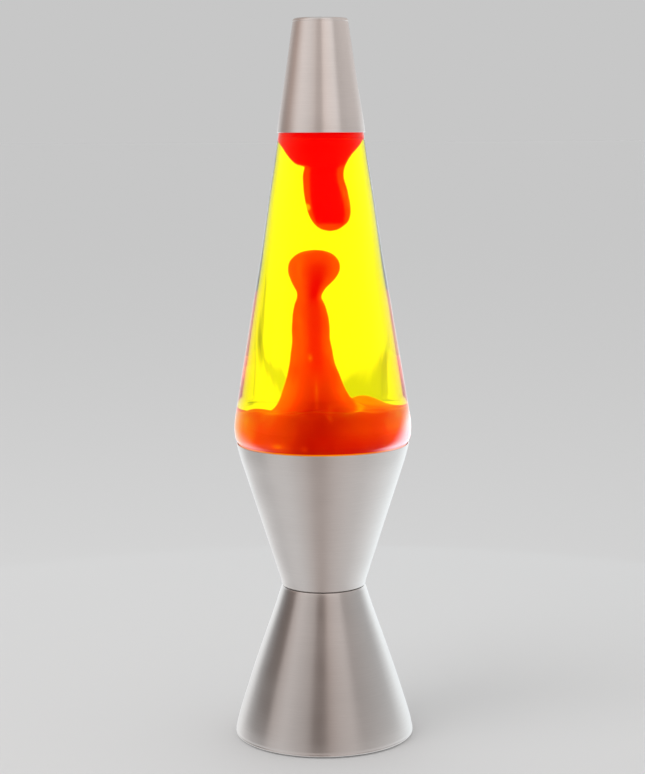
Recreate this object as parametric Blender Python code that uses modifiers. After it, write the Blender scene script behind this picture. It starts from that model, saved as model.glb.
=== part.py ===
"""A 14.5 inch lava lamp: cap, sealed globe, hourglass base, lamp holder and bulb, each piece its own object.

The frame is +Z up with the origin on the table under the lamp's axis. Sizes are millimetres, and MM
turns them into Blender's metres. An outline is a list of (radius, height) points, turned about Z.
"""

import math

import bmesh
import bpy
import numpy as np
from mathutils import Matrix, Vector

MM = 0.001
GAP = 0.3                     # running or resting gap between neighbouring pieces

# Driving dimensions
LAMP_HEIGHT = 368.3           # 14.5 inches, table to the top of the cap
CAP_LIP_Z = 311.6             # lower edge of the cap
CAP_WALL = 0.5
CONE_WALL = 0.6               # spun sheet of both base cones
GLASS_WALL = 2.2
RIM_Z = 153.6                 # top edge of the upper cone, where the globe rests
WAIST_Z = 79.0                # top face of the lower cone's flange
WAIST_HOLE = 16.0             # radius of the opening that the bulb stands through
SKIRT_Z = 0.8                 # lower edge of the lower cone, just off the table
GLOBE_BOTTOM_Z = 119.0
FINISH_Z = 345.0              # top of the bottle's neck
WAX_CEILING_Z = 322.0         # top of the wax that has floated up under the cap
LIQUID_TOP_Z = 314.0

# Bulb and holder: S11 envelope on an E17 intermediate screw base
BULB_TIP_Z = 49.6             # the centre contact's lowest point
BULB_LENGTH = 58.7
BULB_RADIUS = 17.5
SCREW_PITCH = 25.4 / 9        # nine threads to the inch
SCREW_RADIUS = 8.4
HOLDER_RADIUS = 13.0
HOLDER_BOTTOM_Z = 38.9
HOLDER_TOP_Z = 65.5
HOLDER_FLOOR_Z = 46.0

RIVET_X = 18.2
BRACKET_WIDTH = 9.0
BRACKET_SHEET = 0.9
FOOT_CIRCLE = 38.0
OUTLET_Z = 15.5               # height of the cord bushing in the skirt's back
OUTLET_RADIUS = 5.6

BIG, MEDIUM, SMALL, TINY = 40, 24, 20, 12     # segments round a turned piece


# ---------------------------------------------------------------- outlines

def smooth(points, per_span=3):
    """A Catmull-Rom curve through the points, with per_span steps between neighbours."""
    p = np.array([points[0], *points, points[-1]], float)
    out = []
    for a, b, c, d in zip(p, p[1:], p[2:], p[3:]):
        for t in np.arange(per_span) / per_span:
            out.append(tuple(0.5 * (2 * b + (c - a) * t + (2 * a - 5 * b + 4 * c - d) * t ** 2
                                    + (3 * b - a - 3 * c + d) * t ** 3)))
    return [*out, tuple(points[-1])]


def arc(centre, radius, start, end, steps=4):
    """Points on an arc from angle start to end, in degrees, where 0 points outwards and 90 up."""
    angles = np.radians(np.linspace(start, end, steps + 1))
    return [(centre[0] + radius * math.cos(a), centre[1] + radius * math.sin(a)) for a in angles]


def inset(points, wall):
    """The same line moved sideways by wall, to the right of the way it runs."""
    p = np.array(points, float)
    along = np.gradient(p, axis=0)
    along /= np.linalg.norm(along, axis=1)[:, None]
    return [(r + wall * dz, z - wall * dr) for (r, z), (dr, dz) in zip(p, along)]


def radius_at(outline, height):
    """The outline's radius at a height, for a line that runs down."""
    line = np.array(outline[::-1], float)
    return float(np.interp(height, line[:, 1], line[:, 0]))


CAP_SIDE = [(13.9, 366.8), (14.7, 361.5), (16.9, 346.5), (19.3, 331.0), (21.3, 319.0),
            (22.2, CAP_LIP_Z + 0.8)]
GLOBE_SIDE = [(21.4, 312.0), (23.5, 298.0), (26.4, 280.0), (30.9, 250.0), (35.2, 225.0),
              (39.4, 200.0), (42.5, 182.0), (44.4, 170.5), (45.15, 165.5), (45.35, 161.0),
              (44.9, 156.8), (43.45, RIM_Z), (41.5, 148.5), (38.0, 137.6), (34.6, 127.5)]
UPPER_SIDE = [(44.5, RIM_Z), (43.6, 150.0), (42.2, 145.3), (32.0, 113.3), (21.5, WAIST_Z + 1.3)]
LOWER_SIDE = smooth([(22.3, WAIST_Z - 2.0), (31.5, 50.0), (38.4, 30.0), (44.45, 10.0), (46.2, 2.4)], 2)

# The wax, as outlines about its own centreline, and how far that centreline leans towards +X
LOWER_WAX = [(0, 252.9), (4.0, 252.1), (6.9, 249.9), (9.5, 243.8), (8.4, 237.7), (5.2, 231.5),
             (4.8, 226.5), (6.6, 219.3), (6.95, 207.0), (8.5, 194.6), (11.5, 182.2), (14.5, 172.9),
             (18.5, 169.2), (26.0, 167.6), (36.0, 167.4)]
LOWER_WAX_LEAN = [(167, 0.0), (173, -2.5), (188, -3.3), (207, -4.4), (228, -4.6), (241, -3.1),
                  (253, -2.9)]
UPPER_WAX = [(19.2, 309.0), (16.2, 306.8), (13.7, 303.3), (11.6, 299.3), (8.9, 295.3), (7.6, 291.0),
             (7.8, 285.3), (8.4, 275.5), (7.8, 269.1), (5.6, 265.0), (2.6, 263.1), (0, 262.1)]
UPPER_WAX_LEAN = [(262, 3.3), (270, 2.9), (281, 1.6), (290, 0.8), (298, 0.0), (310, 0.0)]


# ---------------------------------------------------------------- Blender helpers

def clear_scene():
    for obj in list(bpy.data.objects):
        bpy.data.objects.remove(obj)


def new_collection(name):
    made = bpy.data.collections.new(name)
    bpy.context.scene.collection.children.link(made)
    return made


def material(name, colour, roughness, metallic=0.0, transmission=0.0):
    made = bpy.data.materials.new(name)
    made.use_nodes = True
    shader = made.node_tree.nodes["Principled BSDF"]
    shader.inputs["Base Color"].default_value = (*colour, 1.0)
    shader.inputs["Roughness"].default_value = roughness
    shader.inputs["Metallic"].default_value = metallic
    shader.inputs["Transmission Weight"].default_value = transmission
    made.diffuse_color = (*colour, 1.0)
    return made


class Workshop:
    """Holds the two collections and the materials that every part uses."""

    def __init__(self):
        self.parts = new_collection("lava_lamp")
        self.cutters = new_collection("cutters")
        self.cutters.hide_render = True
        self.finish = {
            "brushed_aluminium": material("brushed_aluminium", (0.72, 0.70, 0.68), 0.32, 1.0),
            "clear_glass": material("clear_glass", (0.95, 0.97, 0.95), 0.03, 0.0, 1.0),
            "yellow_liquid": material("yellow_liquid", (1.0, 0.93, 0.02), 0.05, 0.0, 0.8),
            "orange_wax": material("orange_wax", (1.0, 0.12, 0.01), 0.35),
            "red_wax": material("red_wax", (1.0, 0.02, 0.01), 0.35),
            "steel": material("steel", (0.60, 0.60, 0.62), 0.35, 1.0),
            "brass": material("brass", (0.80, 0.62, 0.30), 0.30, 1.0),
            "nickel": material("nickel", (0.74, 0.72, 0.68), 0.25, 1.0),
            "phenolic": material("phenolic", (0.03, 0.025, 0.02), 0.45),
            "black_plastic": material("black_plastic", (0.02, 0.02, 0.02), 0.5),
            "rubber": material("rubber", (0.03, 0.03, 0.03), 0.85),
            "liner": material("liner", (0.85, 0.85, 0.80), 0.6),
            "vitrite": material("vitrite", (0.02, 0.02, 0.03), 0.1),
            "tungsten": material("tungsten", (0.35, 0.34, 0.33), 0.4, 1.0),
        }

    def add(self, name, mesh, finish):
        """Links a new part, or a cutter where finish is None."""
        obj = bpy.data.objects.new(name, mesh)
        if finish is None:
            self.cutters.objects.link(obj)
            obj.hide_render = True
            obj.display_type = "WIRE"
        else:
            self.parts.objects.link(obj)
            mesh.materials.append(self.finish[finish])
        return obj

    def turned(self, name, outline, segments, finish):
        """A turned piece. An outline with both ends on the axis is a solid; any other is a closed ring."""
        points = [(r * MM, 0.0, z * MM) for r, z in outline]
        edges = [(i, i + 1) for i in range(len(points) - 1)]
        if outline[0][0] > 0:
            edges.append((len(points) - 1, 0))
        mesh = bpy.data.meshes.new(name)
        mesh.from_pydata(points, edges, [])
        obj = self.add(name, mesh, finish)
        screw = obj.modifiers.new("Turn", "SCREW")
        screw.axis = "Z"
        screw.steps = screw.render_steps = segments
        screw.use_merge_vertices = True
        screw.merge_threshold = 1e-5
        screw.use_smooth_shade = True
        return obj

    def strap(self, name, line, width, sheet, finish):
        """A bent strip of sheet metal: line is its (x, z) path, and width runs along Y."""
        half = width / 2
        points = [(x * MM, side * half * MM, z * MM) for x, z in line for side in (-1, 1)]
        faces = [(2 * i, 2 * i + 1, 2 * i + 3, 2 * i + 2) for i in range(len(line) - 1)]
        mesh = bpy.data.meshes.new(name)
        mesh.from_pydata(points, [], faces)
        obj = self.add(name, mesh, finish)
        solidify = obj.modifiers.new("Sheet", "SOLIDIFY")
        solidify.thickness = sheet * MM
        solidify.offset = 0.0
        solidify.use_even_offset = True
        return obj

    def wire(self, name, points, radius, finish, cyclic=False, resolution=1):
        """A round wire through the points, in millimetres."""
        curve = bpy.data.curves.new(name, "CURVE")
        curve.dimensions = "3D"
        curve.bevel_depth = radius * MM
        curve.bevel_resolution = resolution
        curve.use_fill_caps = not cyclic
        spline = curve.splines.new("POLY")
        spline.points.add(len(points) - 1)
        for point, place in zip(spline.points, points):
            point.co = (*(Vector(place) * MM), 1.0)
        spline.use_cyclic_u = cyclic
        return self.add(name, curve, finish)

    def cylinder(self, name, radius, length, matrix, segments=TINY, finish=None):
        """A cylinder centred on the matrix's origin, along its Z."""
        mesh = bpy.data.meshes.new(name)
        body = bmesh.new()
        bmesh.ops.create_cone(body, cap_ends=True, segments=segments, radius1=radius * MM,
                              radius2=radius * MM, depth=length * MM)
        body.to_mesh(mesh)
        body.free()
        obj = self.add(name, mesh, finish)
        obj.matrix_world = matrix
        return obj

    def boxes(self, name, sizes_and_places, finish=None):
        """One mesh of several boxes, each (size, matrix), in millimetres."""
        mesh = bpy.data.meshes.new(name)
        body = bmesh.new()
        for size, matrix in sizes_and_places:
            scale = Matrix.Diagonal((*(Vector(size) * MM), 1.0))
            bmesh.ops.create_cube(body, size=1.0, matrix=matrix @ scale)
        body.to_mesh(mesh)
        body.free()
        return self.add(name, mesh, finish)

    def boolean(self, obj, other, operation="DIFFERENCE"):
        modifier = obj.modifiers.new(other.name, "BOOLEAN")
        modifier.operation = operation
        modifier.object = other
        return obj


def made_real(obj):
    """Replaces the object's mesh by its evaluated one, so that its points can be moved."""
    graph = bpy.context.evaluated_depsgraph_get()
    mesh = bpy.data.meshes.new_from_object(obj.evaluated_get(graph))
    obj.modifiers.clear()
    obj.data = mesh
    return obj


def place(x=0.0, y=0.0, z=0.0, turn=0.0, axis="Z"):
    """A matrix at a place in millimetres, turned by degrees about an axis."""
    return Matrix.Translation(Vector((x, y, z)) * MM) @ Matrix.Rotation(math.radians(turn), 4, axis)


# ---------------------------------------------------------------- cap and globe

def make_cap(shop):
    """Spun aluminium cap that lifts off: closed top, hemmed lip that rests on the globe's shoulder."""
    top = [(0, LAMP_HEIGHT), (11.9, LAMP_HEIGHT), *arc((12.3, LAMP_HEIGHT - 1.6), 1.6, 80, 10, 4)]
    outer = [*top, *CAP_SIDE]
    inner = inset(CAP_SIDE, CAP_WALL)
    ceiling = [(12.0, LAMP_HEIGHT - CAP_WALL - 1.0), (0, LAMP_HEIGHT - CAP_WALL - 0.6)]
    lip = [(22.1, CAP_LIP_Z), (21.8, CAP_LIP_Z)]
    return shop.turned("cap", [*outer, *lip, *reversed(inner), *ceiling], BIG, "brushed_aluminium")


def make_bottle(shop):
    """Blown glass globe: neck with a crown finish, long taper, flat base with a pushed-up punt."""
    shoulder = [(12.4, 330.0), (14.0, 327.0), (18.6, 321.5), (20.9, 315.5)]
    neck = [(12.6, FINISH_Z), (13.3, FINISH_Z - 0.8), (13.3, FINISH_Z - 4.0), (12.4, FINISH_Z - 5.2)]
    base = [*arc((29.5, GLOBE_BOTTOM_Z + 4.5), 4.5, -15, -80, 3), (24.0, GLOBE_BOTTOM_Z),
            (14.0, GLOBE_BOTTOM_Z + 2.0), (0, GLOBE_BOTTOM_Z + 3.0)]
    bore = [(9.6, FINISH_Z), (8.6, FINISH_Z - 1.5), (8.8, 331.0), (11.0, 327.5)]
    return shop.turned("globe_bottle", [*inner_glass()[::-1], *bore[::-1], *neck, *shoulder,
                                        *GLOBE_SIDE, *base], BIG, "clear_glass")


def inner_glass():
    """The glass's inside face, from the shoulder down to the centre of the floor."""
    floor = [(27.8, 124.0), (24.0, 121.8), (14.0, 123.8), (0, 124.8)]
    upper = [(16.4, 321.0), (18.6, 315.3)]
    return [*upper, *inset(GLOBE_SIDE, GLASS_WALL), *floor]


def leaned(obj, lean):
    """Slides each level of a turned wax body sideways, so that its centreline follows lean."""
    heights, offsets = np.array(lean, float).T
    for vertex in made_real(obj).data.vertices:
        vertex.co.x += MM * np.interp(vertex.co.z / MM, heights, offsets)
    return obj


def wax_outlines(grow=0.0, reach=0.0):
    """The outlines of both wax bodies. A cutter's wax grows by a gap, and its wall goes out by reach."""
    wall = [(r - GAP + reach, z) for r, z in inner_glass()]
    pool_wall = [(r, z) for r, z in wall if 130 < z < 166]
    floor = [(r, z + GAP) for r, z in inner_glass()[-4:]]
    stem = [(r + grow * (r > 0), z + grow) for r, z in LOWER_WAX]
    lower = [*stem, (radius_at(wall, 166.5), 166.5 + grow), *pool_wall, *floor]
    head_wall = [(r, z) for r, z in wall if 309.5 < z < WAX_CEILING_Z]
    upper = [(0, WAX_CEILING_Z + 0.5 + grow), (15.2, WAX_CEILING_Z - 0.6 + grow), *head_wall,
             *[(r + grow * (r > 0), z - grow) for r, z in UPPER_WAX]]
    return lower, upper


def make_wax_and_liquid(shop):
    """The pool with its rising column, the mass hanging under the cap, and the liquid round both."""
    lower, upper = wax_outlines()
    coil_groove = shop.turned("coil_groove", coil_channel(), SMALL, None)
    pool = leaned(shop.turned("wax_lower", lower, SMALL, "orange_wax"), LOWER_WAX_LEAN)
    shop.boolean(pool, coil_groove)
    leaned(shop.turned("wax_upper", upper, SMALL, "red_wax"), UPPER_WAX_LEAN)
    side = [(r - GAP, z) for r, z in inner_glass() if 150 < z < LIQUID_TOP_Z]
    body = [(0, LIQUID_TOP_Z), *side, (0, 150.0)]
    liquid = shop.turned("lamp_liquid", body, BIG, "yellow_liquid")
    lower, upper = wax_outlines(GAP, 3.0)
    for name, outline, lean in (("pool_room", lower, LOWER_WAX_LEAN), ("head_room", upper, UPPER_WAX_LEAN)):
        shop.boolean(liquid, leaned(shop.turned(name, outline, SMALL, None), lean))


COIL_RING, COIL_TURN, COIL_WIRE = 18.0, 2.2, 0.5      # ring radius, coil radius, wire radius
COIL_Z = 126.6


def coil_channel():
    """A ring groove, open at the pool's floor, that holds the coil."""
    half = COIL_TURN + COIL_WIRE + GAP
    return [(COIL_RING - half, COIL_Z + half), (COIL_RING + half, COIL_Z + half),
            (COIL_RING + half, 118.0), (COIL_RING - half, 118.0)]


def make_coil(shop):
    """The steel spring that lies in a ring on the globe's floor and breaks up the wax."""
    turns, steps = 20, 8
    points = []
    for i in range(turns * steps):
        round_ring = 2 * math.pi * i / (turns * steps)
        round_wire = 2 * math.pi * i / steps
        radius = COIL_RING + COIL_TURN * math.cos(round_wire)
        points.append((radius * math.cos(round_ring), radius * math.sin(round_ring),
                       COIL_Z + COIL_TURN * math.sin(round_wire)))
    shop.wire("heat_coil", points, COIL_WIRE, "steel", cyclic=True)


CROWN_FLUTES = 21


def make_crown(shop):
    """Fluted crown cap crimped over the bottle's finish, with its liner disc."""
    top = FINISH_Z + 2.1
    skirt_top, skirt_bottom = top - 1.4, FINISH_Z - 4.6
    outer = [(0, top), (12.4, top), (13.8, top - 0.5), (14.2, skirt_top), (14.4, top - 4.2),
             (15.1, skirt_bottom)]
    inner = [(14.8, skirt_bottom), (13.9, skirt_top), (13.5, top - 0.8), (12.3, top - 0.35),
             (0, top - 0.35)]
    crown = made_real(shop.turned("crown_cap", [*outer, *inner], CROWN_FLUTES * 4, "nickel"))
    for vertex in crown.data.vertices:
        depth = np.clip((skirt_top * MM - vertex.co.z) / (3 * MM), 0, 1)
        angle = math.atan2(vertex.co.y, vertex.co.x)
        swell = 1 + 0.022 * depth * math.cos(CROWN_FLUTES * angle)
        vertex.co.x *= swell
        vertex.co.y *= swell
    liner = [(0, FINISH_Z + 1.3), (12.8, FINISH_Z + 1.3), (12.8, FINISH_Z + GAP), (0, FINISH_Z + GAP)]
    shop.turned("crown_liner", liner, MEDIUM, "liner")


# ---------------------------------------------------------------- base

def make_upper_cone(shop, rivet_holes):
    """Spun cup that the globe sits in, with a flat ring floor at the waist."""
    floor_z = WAIST_Z + GAP
    outer = [*UPPER_SIDE, (20.9, floor_z), (WAIST_HOLE, floor_z)]
    inner = [(WAIST_HOLE, floor_z + CONE_WALL), (20.6, floor_z + CONE_WALL),
             *inset(UPPER_SIDE, CONE_WALL)[-2::-1]]
    cone = shop.turned("upper_cone", [*outer, *inner], BIG, "brushed_aluminium")
    for hole in rivet_holes:
        shop.boolean(cone, hole)


def make_lower_cone(shop, rivet_holes):
    """Spun skirt with a flat ring top under the cup, a hemmed foot and a hole for the cord at the back."""
    flange = [(WAIST_HOLE, WAIST_Z), (20.9, WAIST_Z), (21.8, WAIST_Z - 0.7)]
    hem = [(46.1, SKIRT_Z + 0.6), (45.6, SKIRT_Z), (44.5, SKIRT_Z), (44.0, SKIRT_Z + 0.5),
           (44.0, SKIRT_Z + 1.5), (45.4, SKIRT_Z + 1.7)]
    inner = inset(LOWER_SIDE, CONE_WALL)[::-1]
    flange_under = [(21.1, WAIST_Z - 1.0), (20.6, WAIST_Z - CONE_WALL), (WAIST_HOLE, WAIST_Z - CONE_WALL)]
    cone = shop.turned("lower_cone", [*flange, *LOWER_SIDE, *hem, *inner, *flange_under], BIG,
                       "brushed_aluminium")
    outlet = shop.cylinder("outlet_hole", OUTLET_RADIUS + GAP, 8.0, outlet_matrix(), SMALL)
    for hole in (*rivet_holes, outlet):
        shop.boolean(cone, hole)


def outlet_matrix():
    """The bushing's frame: its origin on the skirt's outside at the back, its Z along the wall's normal."""
    below, above = radius_at(LOWER_SIDE, OUTLET_Z - 3), radius_at(LOWER_SIDE, OUTLET_Z + 3)
    slope = math.degrees(math.atan2(below - above, 6.0))
    return place(0, radius_at(LOWER_SIDE, OUTLET_Z), OUTLET_Z, slope - 90.0, "X")


def make_bushing(shop):
    """Snap bushing that lines the cord's outlet: outer flange, barrel, and a lip behind the sheet."""
    back = -CONE_WALL - 0.9
    ring = [(6.6, 1.4), (7.2, 0.9), (7.2, GAP), (OUTLET_RADIUS, GAP), (OUTLET_RADIUS, back),
            (OUTLET_RADIUS + 0.7, back - 0.4), (OUTLET_RADIUS - 0.2, back - 2.2), (4.2, back - 2.2),
            (4.0, back), (4.0, 0.6), (4.5, 1.4)]
    bushing = shop.turned("cord_bushing", ring, SMALL, "black_plastic")
    bushing.matrix_world = outlet_matrix()


def make_bottom_cover(shop):
    """Moulded floor plate: air slots, pockets for the feet, and three hooks that snap over the hem."""
    low, high = SKIRT_Z + 0.6, SKIRT_Z + 2.4
    outline = [(0, high), (41.4, high), (41.4, high + 3.0), (43.0, high + 3.0), (43.7, high + 2.4),
               (43.7, low), (0, low)]
    cover = shop.turned("bottom_cover", outline, BIG, "black_plastic")
    slots = [((8.0, 2.4, 8.0), place(turn=30 * i) @ place(x=22.0, z=low)) for i in range(12)]
    shop.boolean(cover, shop.boxes("air_slots", slots))
    for i in range(4):
        pocket = place(turn=45 + 90 * i) @ place(x=FOOT_CIRCLE - 2.0, z=low)
        shop.boolean(cover, shop.cylinder(f"foot_pocket_{i + 1}", 5.0, 2.0, pocket))
    hooks = [((2.0, 6.0, 1.4), place(turn=90 + 120 * i) @ place(x=43.6, z=high + 0.7)) for i in range(3)]
    shop.boolean(cover, shop.boxes("hooks", hooks), "UNION")


def make_feet(shop):
    """Four rubber pads in the cover's pockets. Their lower faces are z = 0."""
    top = SKIRT_Z + 0.6 + 1.0 - GAP
    outline = [(0, top), (4.6, top), (4.6, 0.4), (4.2, 0), (0, 0)]
    for i, name in enumerate(("back_right", "back_left", "front_left", "front_right")):
        foot = shop.turned(f"foot_{name}", outline, TINY, "rubber")
        foot.matrix_world = place(turn=45 + 90 * i) @ place(x=FOOT_CIRCLE - 2.0)


def make_rivets(shop):
    """Two rivets that clamp cup, skirt and bracket together at the waist."""
    top = WAIST_Z + GAP + CONE_WALL + GAP
    bottom = WAIST_Z - CONE_WALL - 2 * GAP - BRACKET_SHEET
    outline = [(0, top + 1.2), (1.3, top + 1.0), (2.1, top), (1.5, top), (1.5, bottom), (2.2, bottom),
               (1.9, bottom - 0.8), (0, bottom - 0.8)]
    for name, x in (("left", -RIVET_X), ("right", RIVET_X)):
        rivet = shop.turned(f"waist_rivet_{name}", outline, TINY, "steel")
        rivet.location.x = x * MM


# ---------------------------------------------------------------- lamp holder

def make_bracket(shop, rivet_holes, screw_hole):
    """Steel strap hung from the waist: two ears under the flange, two legs, and a web for the holder."""
    ear_z = WAIST_Z - CONE_WALL - GAP - BRACKET_SHEET / 2
    web_z = HOLDER_BOTTOM_Z - GAP - BRACKET_SHEET / 2
    leg_x, bend = 14.9, 1.5
    right = [(20.3, ear_z), *arc((leg_x + bend, ear_z - bend), bend, 90, 180, 3),
             *arc((leg_x - bend, web_z + bend), bend, 0, -90, 3)]
    line = [*right, *[(-x, z) for x, z in reversed(right)]]
    bracket = shop.strap("socket_bracket", line, BRACKET_WIDTH, BRACKET_SHEET, "steel")
    for hole in (*rivet_holes, screw_hole):
        shop.boolean(bracket, hole)


def make_holder(shop, screw_hole):
    """Phenolic body with its brass screw shell, centre spring and three screws."""
    outline = [(0, HOLDER_FLOOR_Z), (9.9, HOLDER_FLOOR_Z), (9.9, HOLDER_TOP_Z), (12.2, HOLDER_TOP_Z),
               (HOLDER_RADIUS, HOLDER_TOP_Z - 0.8), (HOLDER_RADIUS, HOLDER_BOTTOM_Z + 0.8),
               (12.2, HOLDER_BOTTOM_Z), (0, HOLDER_BOTTOM_Z)]
    body = shop.turned("socket_body", outline, MEDIUM, "phenolic")
    shop.boolean(body, screw_hole)
    shell_top, shell_bottom = HOLDER_TOP_Z - 0.8, BULB_TIP_Z + 0.9
    ring = [(9.0, shell_top), (9.4, shell_top), (9.4, shell_bottom), (6.2, shell_bottom),
            (6.2, shell_bottom + 0.4), (9.0, shell_bottom + 0.4)]
    shop.turned("socket_shell", ring, MEDIUM, "brass")
    low, high = HOLDER_FLOOR_Z + GAP + 0.2, BULB_TIP_Z - GAP - 0.2
    leaf = [(-6.5, low), (-3.5, low), (1.0, high - 0.2), (2.6, high), (4.2, high - 0.8)]
    shop.strap("socket_contact", leaf, 4.0, 0.4, "brass")
    for name, side in (("line", 90), ("neutral", -90)):
        at = place(turn=side) @ place(x=HOLDER_RADIUS + GAP, z=HOLDER_BOTTOM_Z + 4.2) @ place(turn=90, axis="Y")
        make_screw(shop, f"terminal_screw_{name}", at, 2.9, 4.0, "brass")
        hole = shop.cylinder(f"terminal_hole_{name}", 1.8, 12.0, at)
        shop.boolean(body, hole)
    under_web = place(z=HOLDER_BOTTOM_Z - 2 * GAP - BRACKET_SHEET) @ place(turn=180, axis="X")
    make_screw(shop, "socket_screw", under_web, 3.0, 4.6, "steel")


def make_screw(shop, name, matrix, head_radius, shank, finish):
    """A slotted screw. The matrix's origin is under its head, and its Z points out of the head."""
    head = 1.8
    outline = [(0, head), (head_radius * 0.7, head), (head_radius, head * 0.5), (head_radius, 0),
               (1.5, 0), (1.5, -shank), (0, -shank)]
    screw = shop.turned(name, outline, TINY, finish)
    slot = shop.boxes(f"slot_of_{name}", [((2.4 * head_radius, 0.7, 1.4), place(z=head))])
    screw.matrix_world = slot.matrix_world = matrix
    shop.boolean(screw, slot)


# ---------------------------------------------------------------- bulb

def make_bulb(shop):
    """S11 bulb: clear envelope, screw cap, insulator and tip, and the stem with leads and filament."""
    centre = BULB_TIP_Z + BULB_LENGTH - BULB_RADIUS
    neck_top, neck_bottom = BULB_TIP_Z + 19.0, BULB_TIP_Z + 11.0
    envelope = [*arc((0, centre), BULB_RADIUS, 90, -20, 9), (9.5, neck_top + 3.4), (7.4, neck_top),
                (7.2, neck_bottom)]
    thin = [(0, envelope[0][1] - 0.8), *inset(envelope, 0.8)[1:]]
    shop.turned("bulb_glass", [*envelope, *reversed(thin)], MEDIUM, "clear_glass")
    make_screw_cap(shop)
    tip = BULB_TIP_Z
    shop.turned("bulb_insulator", [(2.9, tip + 2.8), (4.9, tip + 2.8), (4.9, tip + 1.9), (3.4, tip + 0.8),
                                   (2.9, tip + 0.8)], SMALL, "vitrite")
    shop.turned("bulb_contact", [(0, tip + 2.0), (2.5, tip + 2.0), (2.5, tip + 0.6), (1.6, tip), (0, tip)],
                SMALL, "nickel")
    stem = [(0, tip + 31.0), (1.6, tip + 30.6), (2.4, tip + 27.0), (2.6, tip + 16.0), (5.6, tip + 12.0),
            (5.6, tip + 11.4), (0, tip + 11.4)]
    shop.turned("bulb_stem", stem, TINY, "clear_glass")
    lead_foot, lead_top = tip + 31.0 + GAP, tip + 43.0
    for name, side in (("left", -1), ("right", 1)):
        lead = [(side * 0.9, 0, lead_foot), (side * 3.0, 0, lead_foot + 3.5), (side * 7.4, 0, lead_top - 1.6),
                (side * 8.0, 0, lead_top)]
        shop.wire(f"bulb_lead_{name}", lead, 0.35, "nickel")
    reach = 7.2
    bow = [(x, 0, lead_top + 3.0 * (1 - (x / reach) ** 2)) for x in np.linspace(-reach, reach, 13)]
    shop.wire("bulb_filament", bow, 0.3, "tungsten")


def make_screw_cap(shop):
    """Thin threaded shell; four rounded ridges stand for the thread's turns."""
    top, bottom = BULB_TIP_Z + 16.6, BULB_TIP_Z + 3.2
    steps, ridge, turns = 4, 0.3, 4
    span = np.arange(turns * steps + 1) / steps
    thread = [(SCREW_RADIUS - ridge + ridge * math.cos(2 * math.pi * (t - 0.5)), top - 1.6 - t * SCREW_PITCH)
              for t in span]
    inner = SCREW_RADIUS - 2 * ridge - 0.3
    ring = [(inner, top), (inner + 0.3, top), *thread, (6.6, bottom - 0.2), (5.3, bottom - 1.0),
            (5.3, bottom - 0.6), (6.5, bottom + 0.3), (inner, bottom + 1.4)]
    shop.turned("bulb_screw_cap", ring, MEDIUM, "nickel")


# ---------------------------------------------------------------- assembly

def main():
    clear_scene()
    shop = Workshop()
    rivet_holes = [shop.cylinder(f"rivet_hole_{name}", 1.8, 9.0, place(x=x, z=WAIST_Z))
                   for name, x in (("left", -RIVET_X), ("right", RIVET_X))]
    screw_hole = shop.cylinder("screw_hole", 1.8, 12.0, place(z=HOLDER_BOTTOM_Z - 0.7))
    make_cap(shop)
    make_bottle(shop)
    make_wax_and_liquid(shop)
    make_coil(shop)
    make_crown(shop)
    make_upper_cone(shop, rivet_holes)
    make_lower_cone(shop, rivet_holes)
    make_rivets(shop)
    make_bushing(shop)
    make_bottom_cover(shop)
    make_feet(shop)
    make_bracket(shop, rivet_holes, screw_hole)
    make_holder(shop, screw_hole)
    make_bulb(shop)


main()
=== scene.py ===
"""Looks for the lava lamp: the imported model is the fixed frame, and every visible piece is rebuilt on it.

Lengths in outlines are millimetres, as (radius, height) down the outside of a turned piece, and MM turns
them into the frame's metres. The studio is a pale floor, a soft area light, and a world and a drum of cards
that show glossy rays the strip lights and dark flags that brushed metal is photographed with.
"""

import math

import bpy
import numpy as np
from mathutils import Matrix, Vector, noise


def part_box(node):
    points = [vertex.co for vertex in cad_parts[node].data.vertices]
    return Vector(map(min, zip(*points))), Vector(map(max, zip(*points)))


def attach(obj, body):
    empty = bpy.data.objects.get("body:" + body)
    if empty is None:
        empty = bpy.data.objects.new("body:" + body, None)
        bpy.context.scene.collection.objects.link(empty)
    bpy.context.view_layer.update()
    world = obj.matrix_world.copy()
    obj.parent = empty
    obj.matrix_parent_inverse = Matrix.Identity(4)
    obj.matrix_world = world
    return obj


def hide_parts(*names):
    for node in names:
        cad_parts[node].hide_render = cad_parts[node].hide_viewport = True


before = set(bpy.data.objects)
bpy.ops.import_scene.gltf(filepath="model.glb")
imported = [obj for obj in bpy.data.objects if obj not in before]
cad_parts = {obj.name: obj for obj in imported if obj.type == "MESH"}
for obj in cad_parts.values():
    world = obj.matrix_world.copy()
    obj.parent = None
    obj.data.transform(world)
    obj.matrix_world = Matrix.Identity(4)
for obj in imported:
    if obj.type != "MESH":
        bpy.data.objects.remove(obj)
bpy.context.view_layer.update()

MM = 0.001
AROUND = 180                     # segments round a turned piece
PHOTO_LENS, PHOTO_SENSOR = 90.2, 36.0
CAMERA_DISTANCE, CAMERA_HEIGHT = 0.9852, 0.3168
CAMERA_PITCH, CAMERA_ROLL = -7.78, -0.33       # degrees

TOP_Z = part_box("cap")[1].z / MM
LIP_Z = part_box("cap")[0].z / MM
RIM_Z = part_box("upper_cone")[1].z / MM
WAIST_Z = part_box("lower_cone")[1].z / MM
SKIRT_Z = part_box("lower_cone")[0].z / MM
GLOBE_FOOT_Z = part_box("globe_bottle")[0].z / MM
FINISH_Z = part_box("globe_bottle")[1].z / MM
CAP_WALL, CONE_WALL, GLASS_WALL = 0.5, 0.6, 2.2
LIQUID_INDEX, WAX_INDEX = 1.36, 1.06          # the wax's is against the liquid round it
# deep red that is mixed in where shade is painted into the wax's thick middle
SHADED_CORE_RED = (0.76, 0.001, 0.0)
# emission strength of the wax, a painted glow for the light it gets from the bulb below
WAX_PAINTED_GLOW = 0.62
WAX_GAP = 0.25                                # between the wax and the glass round it


# ---------------------------------------------------------------- outlines

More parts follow.
